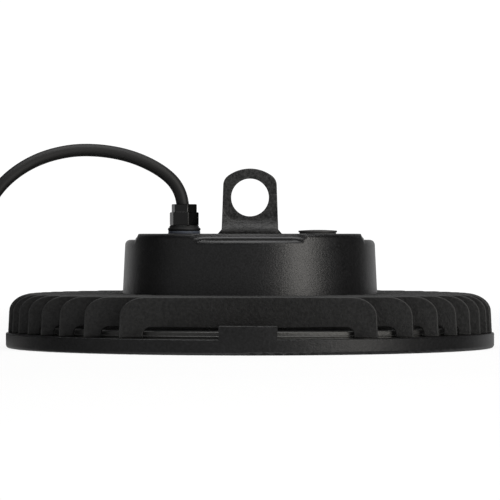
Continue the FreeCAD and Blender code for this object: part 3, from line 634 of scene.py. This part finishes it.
class Pattern(Tree):  # one Geometry Nodes tree with named inputs
    def __init__(self, name, inputs):
        self.tree = bpy.data.node_groups.new(name, "GeometryNodeTree")
        face = self.tree.interface
        face.new_socket("Geometry", in_out="INPUT", socket_type="NodeSocketGeometry")
        for title, number in inputs.items():
            kind = "NodeSocketInt" if isinstance(number, int) else "NodeSocketFloat"
            face.new_socket(title, in_out="INPUT", socket_type=kind)
        face.new_socket("Geometry", in_out="OUTPUT", socket_type="NodeSocketGeometry")
        self.numbers = inputs
        self.start = self.tree.nodes.new("NodeGroupInput")
        self.end = self.tree.nodes.new("NodeGroupOutput")

    def given(self, title):
        return Value(self, self.start.outputs[title])

    def vector(self, x=0.0, y=0.0, z=0.0):
        return self.node("ShaderNodeCombineXYZ", None, {"X": x, "Y": y, "Z": z})

    def finish(self, geometry, material):
        whole = self.node("GeometryNodeRealizeInstances", None, {"Geometry": geometry})
        dressed = self.node("GeometryNodeSetMaterial", None, {"Geometry": whole, "Material": material})
        self.feed(self.end.inputs["Geometry"], dressed)

    def run(self, mesh):
        holder = bpy.data.objects.new(self.tree.name, mesh)
        scene.collection.objects.link(holder)
        modifier = holder.modifiers.new("pattern", "NODES")
        modifier.node_group = self.tree
        for item in self.tree.interface.items_tree:
            if item.in_out == "INPUT" and item.name in self.numbers:
                modifier[item.identifier] = self.numbers[item.name]
        made = shapeOf(holder)
        bpy.data.objects.remove(holder)
        return made


def finPattern(numbers, material):
    # half a fin at each place; each of its points is moved out to the circle that it follows
    tree = Pattern("fins", numbers)
    count, pitch = tree.given("Count"), tree.given("Pitch")
    start = tree.vector(y=(count - 1) * pitch * -0.5)
    places = tree.node("GeometryNodeMeshLine", None, {
        "Count": count, "Start Location": start, "Offset": tree.vector(y=pitch)})
    across = tree.parts(tree.node("GeometryNodeInputPosition"))[1]
    named = tree.node("GeometryNodeStoreNamedAttribute", {"data_type": "FLOAT", "domain": "POINT"}, {
        "Geometry": places, "Name": "middle", "Value": across})
    fins = tree.node("GeometryNodeInstanceOnPoints", None, {
        "Points": named, "Instance": tree.given("Geometry")})
    whole = tree.node("GeometryNodeRealizeInstances", None, {"Geometry": fins})
    middle = tree.node("GeometryNodeInputNamedAttribute", {"data_type": "FLOAT"}, {"Name": "middle"})
    circle = tree.node("GeometryNodeInputNamedAttribute", {"data_type": "FLOAT"}, {"Name": "circle"})
    chord = (circle * circle - middle * middle).math("MAXIMUM", 0.0).math("SQRT")
    moved = tree.node("GeometryNodeSetPosition", None, {
        "Geometry": whole, "Offset": tree.vector(x=chord)})
    other = tree.node("GeometryNodeTransform", None, {
        "Geometry": moved, "Rotation": (0.0, 0.0, math.pi)})
    both = tree.node("GeometryNodeJoinGeometry", None, {"Geometry": [moved, other]})
    tree.finish(both, material)
    return tree


heatSink = {
    "count": 18,
    "pitch": 0.01508,
    "thickness": 0.0024,
    "rise": 0.0198,
    "baseThickness": 0.0058,
    "baseRadius": 0.1393,
    "rimRound": 0.0009,
    "rimSteps": 4,
    "discSteps": 240,
    "finCircle": 0.1486,
    "footCircle": 0.142,
    "slotCircle": 0.1293,
    "roomRadius": (0.08, 0.079),
    "slotRise": 0.0021,
    "slotCorner": 0.004,
    "slotSteps": 5,
    "cornerLength": 0.0148,
    "cornerHeight": 0.0112,
    "cornerSteps": 12,
    "endDraft": 0.0006,
    "footBottom": 0.0095,
    "edgeRound": 0.0008,
    "edgeShine": 1.0,
    "rimGrooves": [(0.0, 0.0), (0.0, 0.0021), (0.0004, 0.0025), (0.0004, 0.0029), (0.0, 0.0033)],
}


def halfFin(how, baseTop):
    # drawn with its stretches set far apart, so that each point is known by its place
    slot, foot, end = 1.0, 2.0, 3.0
    midway = 0.5
    crest = baseTop + how["rise"]
    under = baseTop + how["slotRise"]
    root = baseTop - how["baseThickness"] / 4
    outline = [(0.0, root), (slot, root), (slot, under)]
    for angle in arc(90.0, 0.0, how["slotSteps"]):
        outline.append((foot + how["slotCorner"] * (math.cos(angle) - 1),
                        under + how["slotCorner"] * (math.sin(angle) - 1)))
    outline += [(foot, how["footBottom"]), (end, how["footBottom"])]
    for angle in arc(0.0, 90.0, how["cornerSteps"]):
        outline.append((end - how["endDraft"] - how["cornerLength"] * (1 - math.cos(angle)),
                        crest - how["cornerHeight"] * (1 - math.sin(angle))))
    outline.append((0.0, crest))
    build = bmesh.new()
    flat = build.faces.new([build.verts.new((x, -how["thickness"] / 2, z)) for x, z in outline])
    made = bmesh.ops.extrude_face_region(build, geom=[flat])
    raised = [item for item in made["geom"] if isinstance(item, bmesh.types.BMVert)]
    bmesh.ops.translate(build, verts=raised, vec=(0.0, how["thickness"], 0.0))
    edges = []
    for edge in build.edges:
        a, b = (vert.co for vert in edge.verts)
        level = abs(a.y - b.y) < 0.0001
        if level and max(a.x, b.x) > slot + midway and min(a.z, b.z) > how["footBottom"] - 0.0001:
            edges.append(edge)
    bmesh.ops.bevel(build, geom=edges, offset=how["edgeRound"], segments=3, profile=0.5, affect="EDGES")
    circle = build.verts.layers.float.new("circle")
    # the edge mark is where the fins' rounded edges get their painted highlight and their wear
    wearAndHighlight = build.verts.layers.float.new("edge")
    low, high = how["roomRadius"]
    for vert in build.verts:
        onSide = abs(abs(vert.co.y) - how["thickness"] / 2) < 0.00001
        vert[wearAndHighlight] = 0.0 if onSide or vert.co.x < slot - midway else how["edgeShine"]
    for vert in build.verts:
        if vert.co.x > end - midway:
            vert[circle] = how["finCircle"]
            vert.co.x -= end
        elif vert.co.x > foot - midway:
            vert[circle] = how["footCircle"]
            vert.co.x -= foot
        elif vert.co.x > slot - midway:
            vert[circle] = how["slotCircle"]
            vert.co.x -= slot
        else:
            vert[circle] = low + (high - low) * (vert.co.z - baseTop) / how["rise"]
    bmesh.ops.recalc_face_normals(build, faces=build.faces)
    mesh = bpy.data.meshes.new("halfFin")
    build.to_mesh(mesh)
    build.free()
    return mesh


def makeHeatSink(how):
    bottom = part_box("heat_sink")[0].z
    top = bottom + how["baseThickness"]
    numbers = {"Count": how["count"], "Pitch": how["pitch"]}
    fins = finPattern(numbers, finishes["sink"]).run(halfFin(how, top))
    rim, bend = how["baseRadius"], how["rimRound"]
    outline = [(0.0, bottom)]
    outline += [(rim + out, bottom + up) for out, up in how["rimGrooves"]]
    for angle in arc(0.0, 90.0, how["rimSteps"]):
        outline.append((rim - bend * (1 - math.cos(angle)), top - bend * (1 - math.sin(angle))))
    outline.append((0.0, top))
    disc = turned("disc", outline, how["discSteps"])
    build = bmesh.new()
    build.from_mesh(fins)
    build.from_mesh(disc)
    for face in build.faces:
        face.material_index = 0
    # the halves of a fin that runs past the drum meet in the middle
    meeting = [face for face in build.faces if all(abs(vert.co.x) < 0.000005 for vert in face.verts)]
    bmesh.ops.delete(build, geom=meeting, context="FACES_ONLY")
    mesh = toMesh(build, "heatSinkCasting")
    return dress(mesh, "heatSinkCasting", "sink", "powder_coat", "heat_sink", sharp=38.0)


makeHeatSink(heatSink)
print("heat sink made")


def ringPattern(numbers, rings, material):
    # one template on each place of some circles round the light's middle
    tree = Pattern("ringsOf" + material.name.capitalize(), numbers)
    circles = []
    for i in range(rings):
        circles.append(tree.node("GeometryNodeMeshCircle", None, {
            "Vertices": tree.given(f"Ring {i + 1} Count"),
            "Radius": tree.given(f"Ring {i + 1} Radius"),
        }))
    joined = tree.node("GeometryNodeJoinGeometry", None, {"Geometry": circles})
    turnedRound = tree.node("GeometryNodeTransform", None, {
        "Geometry": joined, "Rotation": tree.vector(z=tree.given("First Angle"))})
    placed = tree.node("GeometryNodeInstanceOnPoints", None, {
        "Points": turnedRound, "Instance": tree.given("Geometry")})
    tree.finish(placed, material)
    return tree


def onRings(mesh, rings, firstAngle, material):
    numbers = {"First Angle": math.radians(firstAngle)}
    for i, (radius, count) in enumerate(rings):
        numbers[f"Ring {i + 1} Radius"] = radius
        numbers[f"Ring {i + 1} Count"] = count
    return ringPattern(numbers, len(rings), material).run(mesh)


lightEngine = {
    "rings": [(0.030, 6), (0.065, 14), (0.100, 22)],
    "firstAngle": 90.0,
    "lensRadius": 0.1309,
    "lensSteps": 192,
    "domeRadius": 0.0084,
    "domeHeight": 0.0019,
    "domeSink": 0.0004,
    "domeRows": 8,
    "domeSteps": 28,
    "packageSide": 0.007,
    "packageRound": 0.0004,
    "emitterRadius": 0.0029,
    "emitterDepth": 0.00012,
    "emitterShares": (0.4, 0.75, 0.93, 1.0),
    "emitterBack": 0.0001,
    "emitterSteps": 20,
}


def makeLens(how):
    low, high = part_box("lens")
    under = low.z + how["domeHeight"]
    rim = how["lensRadius"]
    outline = [(0.0, under), (rim, under), (rim, high.z), (0.0, high.z)]
    plate = turned("lensPlate", outline, how["lensSteps"])
    ball = (how["domeRadius"] ** 2 + how["domeHeight"] ** 2) / (2 * how["domeHeight"])
    outline = [(0.0, low.z)]
    for i in range(how["domeRows"]):
        reach = how["domeRadius"] * (i + 1) / how["domeRows"]
        outline.append((reach, low.z + ball - math.sqrt(ball * ball - reach * reach)))
    outline += [(how["domeRadius"], under + how["domeSink"]), (0.0, under + how["domeSink"])]
    dome = turned("dome", outline, how["domeSteps"])
    domes = onRings(dome, how["rings"], how["firstAngle"], finishes["clearLens"])
    plate.materials.append(finishes["clearLens"])
    whole = bpy.data.objects.new("lensPlate", plate)
    tool = bpy.data.objects.new("domes", domes)
    scene.collection.objects.link(whole)
    scene.collection.objects.link(tool)
    union = whole.modifiers.new("domes", "BOOLEAN")
    union.operation = "UNION"
    union.solver = "EXACT"
    union.object = tool
    mesh = shapeOf(whole)
    bpy.data.objects.remove(whole)
    bpy.data.objects.remove(tool)
    return dress(mesh, "domedLens", "clearLens", "lens_clear", "lens", sharp=30.0)


def makeLeds(how):
    low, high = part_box("leds")
    build = bmesh.new()
    bmesh.ops.create_cube(build, size=1.0)
    for vert in build.verts:
        vert.co.x *= how["packageSide"]
        vert.co.y *= how["packageSide"]
        vert.co.z = high.z if vert.co.z > 0 else low.z + how["emitterDepth"]
    upright = [edge for edge in build.edges if abs(edge.verts[0].co.z - edge.verts[1].co.z) > 0.0001]
    bmesh.ops.bevel(
        build, geom=upright, offset=how["packageRound"], segments=2, profile=0.5, affect="EDGES")
    case = toMesh(build, "ledCase")
    outline = [(0.0, low.z)]
    for share in how["emitterShares"]:
        outline.append((how["emitterRadius"] * share, low.z + how["emitterDepth"] * share**3))
    outline += [(how["emitterRadius"], high.z - how["emitterBack"]), (0.0, high.z - how["emitterBack"])]
    emitter = turned("ledEmitter", outline, how["emitterSteps"])
    cases = onRings(case, how["rings"], how["firstAngle"], finishes["whitePlastic"])
    emitters = onRings(emitter, how["rings"], how["firstAngle"], finishes["phosphor"])
    dress(cases, "ledPackages", "whitePlastic", "led_yellow", "leds")
    dress(emitters, "ledEmitters", "phosphor", "led_yellow", "leds")


screws = {
    "bezel": {"node": "bezel_screws", "rings": [(0.1363, 8)], "firstAngle": 22.5, "head": 0.0028,
              "headHeight": 0.0019, "shank": 0.0015, "socket": 0.001, "socketDepth": 0.0012},
    "board": {"node": "board_screws", "rings": [(0.082, 6)], "firstAngle": 15.0, "head": 0.0028,
              "headHeight": 0.0009, "shank": 0.0015, "socket": 0.0009, "socketDepth": 0.0006},
}
# shares of the head's and the shank's radius, and distances up from the head's face
screwForm = {
    "socketMouth": (1.12, 0.0001),
    "crown": [(0.7, 0.0), (0.88, 0.00015), (0.97, 0.0004), (1.0, 0.0006)],
    "tip": (0.8, 0.0003),
    "steps": 24,
}


def makeScrews(name, how):
    # a pan head with a six-sided socket, seen from below
    low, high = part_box(how["node"])
    seat = low.z + how["headHeight"]
    floor = low.z + how["socketDepth"]
    head, socket, shank = how["head"], how["socket"], how["shank"]
    mouth, bevel = screwForm["socketMouth"]
    levels = [(0.0, floor, True), (socket, floor, True), (socket, low.z + bevel, True),
              (mouth * socket, low.z, True)]
    levels += [(share * head, low.z + up, False) for share, up in screwForm["crown"]]
    tip, tipLength = screwForm["tip"]
    levels += [(head, seat, False), (shank, seat, False), (shank, high.z - tipLength, False),
               (tip * shank, high.z, False), (0.0, high.z, False)]
    rings = []
    for radius, height, sixSided in levels:
        ring = []
        for i in range(screwForm["steps"]):
            angle = 2 * math.pi * i / screwForm["steps"]
            aside = (angle + math.pi / 6) % (math.pi / 3) - math.pi / 6
            reach = radius / math.cos(aside) if sixSided else radius
            ring.append((reach * math.cos(angle), reach * math.sin(angle), height))
        rings.append(ring)
    one = joinRings(name + "Screw", rings, closed=True)
    many = onRings(one, how["rings"], how["firstAngle"], finishes["zincSteel"])
    dress(many, name + "Screws", "zincSteel", "steel", how["node"])


makeLens(lightEngine)
makeLeds(lightEngine)
for name, how in screws.items():
    makeScrews(name, how)
print("lens, LEDs and screws made")

gland = {
    "middle": -0.0405,
    "turn": 16.4,
    "nutFlats": 0.0161,
    "nutHeight": 0.0082,
    "capFlats": 0.014,
    "capHeight": 0.005,
    "edge": 0.0005,
    "edgeShare": 0.3,
    "cornerReach": 1.15,
    "cornerCrowding": 0.08,
    "sideSteps": 12,
    "roundSteps": 72,
    "bore": 0.0041,
    "boreRound": 0.0008,
    "thread": 0.006,
    "threadBore": 0.0043,
    "threadLength": 0.012,
    "collar": 0.0101,
    "collarHeight": 0.0034,
    "collarShare": 0.65,
    "collarRound": 0.0009,
    "collarArc": (-60.0, 90.0, 6),
    "collarFoot": 0.0006,
    "upperCollar": 0.0091,
    "upperEdge": 0.0004,
    "washer": 0.01,
    "washerBore": 0.0061,
    "washerRound": 0.0004,
    "washerArc": (-75.0, 75.0, 5),
    "washerGroove": 0.0008,
}


def sixSides(radiusAtFlats, height, how):
    # a ring round a hexagon whose corners are cut a little short
    ring = []
    for side in range(6):
        for i in range(how["sideSteps"]):
            aside = (i + 0.5) / how["sideSteps"] * math.pi / 3 - math.pi / 6
            aside *= 1.0 + how["cornerCrowding"] * abs(aside)
            reach = radiusAtFlats * min(1 / math.cos(aside), how["cornerReach"])
            angle = math.radians(how["turn"]) + side * math.pi / 3 + aside
            ring.append((how["middle"] + reach * math.cos(angle), reach * math.sin(angle), height))
    return ring


def makeGland(how):
    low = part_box("gland_nut")[0].z
    mid = low + how["nutHeight"]
    top = mid + how["capHeight"]
    nut, cap, edge, bore = how["nutFlats"] / 2, how["capFlats"] / 2, how["edge"], how["bore"]
    ease = how["edgeShare"] * edge
    levels = [(nut - edge, low), (nut - ease, low + ease), (nut, low + edge),
              (nut, mid - edge), (nut - ease, mid - ease), (nut - edge, mid),
              (cap + ease, mid), (cap, mid + ease), (cap, top - edge),
              (cap - ease, top - ease), (cap - edge, top),
              (bore + how["boreRound"], top), (bore, top - how["boreRound"]), (bore, low)]
    mesh = joinRings("glandNut", [sixSides(flat, height, how) for flat, height in levels], closed=True)
    dress(mesh, "glandNut", "glandNylon", "gland_plastic", "gland_nut", sharp=28.0)
    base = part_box("gland_washer")[1].z
    collar, upper, thread = how["collar"], how["upperCollar"], how["thread"]
    step = base + how["collarShare"] * how["collarHeight"]
    foot = base - how["threadLength"]
    outline = [(how["threadBore"], foot), (thread, foot), (thread, base),
               (collar - how["collarFoot"], base)]
    for angle in arc(*how["collarArc"]):
        outline.append((collar - how["collarRound"] * (1 - math.cos(angle)),
                        (base + step) / 2 + (step - base) / 2 * math.sin(angle)))
    outline += [(upper, step), (upper, low - how["upperEdge"]), (upper - how["upperEdge"], low),
                (how["threadBore"], low)]
    body = turned("glandCollar", outline, how["roundSteps"], (how["middle"], 0.0))
    dress(body, "glandCollar", "collarNylon", "gland_plastic", "gland_body", sharp=35.0)
    lid = housing["lid"]
    reach, half = how["washer"], (base - lid) / 2
    outline = [(how["washerBore"], lid)]
    for ring in (0, 1):
        for angle in arc(*how["washerArc"]):
            outline.append((reach - how["washerRound"] * (1 - math.cos(angle)),
                            lid + half * (ring + 0.5) + 0.5 * half * math.sin(angle)))
        outline.append((reach - how["washerGroove"], lid + half * (ring + 1)))
    outline.append((how["washerBore"], base))
    washers = turned("glandWashers", outline, how["roundSteps"], (how["middle"], 0.0))
    dress(washers, "glandWashers", "washerNylon", "washer_plastic", "gland_washer", sharp=35.0)


makeGland(gland)
print("gland made")

cord = {
    "diameter": 0.0078,
    "exit": (-0.0405, 0.0, 0.088),
    "length": 1.29,
    "route": [
        (-0.0405, 0.0, 0.068),
        (-0.0405, 0.0, 0.0862),
        (-0.0444, -0.0005, 0.0995),
        (-0.0549, -0.001, 0.1092),
        (-0.0718, -0.002, 0.1173),
        (-0.0915, -0.004, 0.1213),
        (-0.112, -0.008, 0.121),
        (-0.133, -0.013, 0.1146),
        (-0.151, -0.018, 0.1016),
        (-0.163, -0.02, 0.083),
        (-0.1685, -0.014, 0.0615),
        (-0.1705, -0.0015, 0.041),
        (-0.1712, 0.015, 0.026),
        (-0.1714, 0.033, 0.0164),
        (-0.1714, 0.05, 0.0127),
        (-0.1714, 0.067, 0.0127),
        (-0.1714, 0.084, 0.0127),
    ],
    "coilCentre": (-0.2182, 0.097),
    "innerTurn": 0.039,
    "lowLayer": 0.0049,
    "stepsPerTurn": 16,
    "turns": 3.5,
    # the degrees along the coil where it starts to change its turn or its layer, and what that takes
    "inwardAt": 290.0,
    "downAt": 590.0,
    "outwardAt": 890.0,
    "crossing": 60.0,
    "tail": 0.03,
}


def coilPoints(how):
    # top outer turn, top inner turn, then the lower layer, inner before outer; the points stand a
    # little outside the turns, since the curve runs inside them by the share called pull
    points = []
    pull = 0.75 + 0.25 * math.cos(math.radians(360.0 / how["stepsPerTurn"]))
    steps = round(how["turns"] * how["stepsPerTurn"])
    for i in range(steps + 1):
        turn = 360.0 * i / how["stepsPerTurn"]
        inward, down, outward = (
            eased((turn - how[start]) / how["crossing"]) for start in ("inwardAt", "downAt", "outwardAt"))
        radius = how["innerTurn"] + how["diameter"] * (1.0 - inward + outward)
        height = how["lowLayer"] + how["diameter"] * (1.0 - down)
        angle = math.radians(turn)
        points.append((
            how["coilCentre"][0] + radius / pull * math.cos(angle),
            how["coilCentre"][1] + radius / pull * math.sin(angle),
            height,
        ))
    return points


def makeCord(how):
    left = how["coilCentre"][0] - how["innerTurn"] - how["diameter"]
    tail = [(left, how["coilCentre"][1] - share * how["tail"], how["lowLayer"]) for share in (0.5, 1.0)]
    points = how["route"] + coilPoints(how) + tail
    curve = bpy.data.curves.new("supplyCord", "CURVE")
    curve.dimensions = "3D"
    spline = curve.splines.new("NURBS")
    spline.points.add(len(points) - 1)
    for point, place in zip(spline.points, points):
        point.co = (*place, 1.0)
    spline.order_u = 3
    spline.use_endpoint_u = True
    curve.resolution_u = 8
    curve.bevel_depth = how["diameter"] / 2
    curve.bevel_resolution = 6
    curve.use_fill_caps = True
    curve.materials.append(finishes["rubberSheath"])
    made = bpy.data.objects.new("supplyCord", curve)
    scene.collection.objects.link(made)
    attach(made, "root")
    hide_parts("supply_cord", "cord_coil")
    return made


makeCord(cord)
print("cord made")

studio = {
    "floorRadius": 3.0,
    "floorSteps": 96,
    "floorShade": (0.9, 0.9, 0.9, 1.0),
    "floorFade": (0.4, 1.6),
    "floorBody": 0.2,
    "world": 1.06,
    # the room's light by how far back it comes from, and by its height
    "worldByY": [(0.0, 0.4), (0.4, 0.34), (0.46, 0.05), (0.83, 0.04), (0.87, 0.48), (1.0, 0.54)],
    "worldByZ": [(0.0, 5.0), (0.12, 5.0), (0.25, 1.0), (0.6, 1.0), (0.7, 0.4), (0.9, 0.4), (0.96, 1.0)],
    "cameraDistance": 2.155,
    "cameraHeight": 0.072,
    "cameraTurn": 0.45,
    "aim": (0.0, 0.0, 0.05975),
    "lens": 252.0,
    "clip": (0.05, 50.0),
    "lampAim": (0.0, 0.0, 0.05),
}
lamps = {
    "rightSoftbox": {"turn": 46.6, "rise": 16.0, "far": 1.6, "size": (0.7, 1.5), "power": 12.5,
                     "shade": (1.0, 0.97, 0.92)},
    "topSoftbox": {"turn": 0.0, "rise": 86.0, "far": 1.5, "size": (1.4, 1.4), "power": 15.0,
                   "shade": (1.0, 1.0, 1.0)},
}


def makeFloor(how):
    mesh = bpy.data.meshes.new("floor")
    build = bmesh.new()
    bmesh.ops.create_circle(
        build, cap_ends=True, segments=how["floorSteps"], radius=how["floorRadius"])
    build.to_mesh(mesh)
    build.free()
    floor = bpy.data.objects.new("floor", mesh)
    scene.collection.objects.link(floor)
    finish = Finish("paleFloor")
    where = finish.place()
    away = finish.node("ShaderNodeVectorMath", {"operation": "LENGTH"}, {0: where}, "Value")
    gone = finish.between(away, how["floorFade"][0], how["floorFade"][1], 1.0 - how["floorBody"], 1.0)
    surface = finish.node("ShaderNodeBsdfDiffuse", None, {"Color": how["floorShade"]})
    clear = finish.node("ShaderNodeBsdfTransparent")
    both = finish.node("ShaderNodeMixShader", None, {0: gone, 1: surface, 2: clear})
    finish.tree.links.new(both.socket, finish.end.inputs["Surface"])
    mesh.materials.append(finish.material)
    return floor


def aimAt(thing, target):
    thing.rotation_euler = (Vector(target) - thing.location).to_track_quat("-Z", "Y").to_euler()


def makeLamp(name, how):
    light = bpy.data.lights.new(name, "AREA")
    light.shape = "RECTANGLE"
    light.size, light.size_y = how["size"]
    light.energy = how["power"]
    light.color = how["shade"]
    lamp = bpy.data.objects.new(name, light)
    turn, rise = math.radians(how["turn"]), math.radians(how["rise"])
    lamp.location = (
        how["far"] * math.sin(turn) * math.cos(rise),
        -how["far"] * math.cos(turn) * math.cos(rise),
        how["far"] * math.sin(rise),
    )
    lamp.location += Vector(studio["lampAim"])
    aimAt(lamp, studio["lampAim"])
    scene.collection.objects.link(lamp)


class Sky(Tree):  # the room's light
    def __init__(self, name):
        self.world = bpy.data.worlds.new(name)
        self.world.use_nodes = True
        self.tree = self.world.node_tree
        self.tree.nodes.clear()
        self.end = self.tree.nodes.new("ShaderNodeOutputWorld")


def makeWorld(how):
    # plain white to the camera, and shaded by direction in what it lights
    sky = Sky("studio")
    across, back, up = sky.parts(sky.node("ShaderNodeTexCoord", output="Generated"))
    shades = []
    for direction, lights in ((back, how["worldByY"]), (up, how["worldByZ"])):
        span = sky.node("ShaderNodeMapRange", None, {"Value": direction, "From Min": -1.0})
        stops = [(place, (light, light, light)) for place, light in lights]
        shades.append(sky.node("ShaderNodeValToRGB", {"stops": stops}, {0: span}))
    felt = sky.node("ShaderNodeBackground", None, {
        "Color": sky.mixColour(1.0, *shades, blend="MULTIPLY")})
    seen = sky.node("ShaderNodeBackground", None, {
        "Color": (1.0, 1.0, 1.0, 1.0), "Strength": how["world"]})
    toCamera = sky.node("ShaderNodeLightPath", output="Is Camera Ray")
    both = sky.node("ShaderNodeMixShader", None, {0: toCamera, 1: felt, 2: seen})
    sky.tree.links.new(both.socket, sky.end.inputs["Surface"])
    scene.world = sky.world


makeFloor(studio)
for name, how in lamps.items():
    makeLamp(name, how)
makeWorld(studio)
scene.view_settings.view_transform = "Standard"

view = bpy.data.cameras.new("camera")
view.lens = studio["lens"]
view.clip_start, view.clip_end = studio["clip"]
camera = bpy.data.objects.new("camera", view)
turn = math.radians(studio["cameraTurn"])
camera.location = (
    studio["cameraDistance"] * math.sin(turn),
    -studio["cameraDistance"] * math.cos(turn),
    studio["cameraHeight"],
)
aimAt(camera, studio["aim"])
scene.collection.objects.link(camera)
scene.camera = camera
print("floor, lamps and camera made")
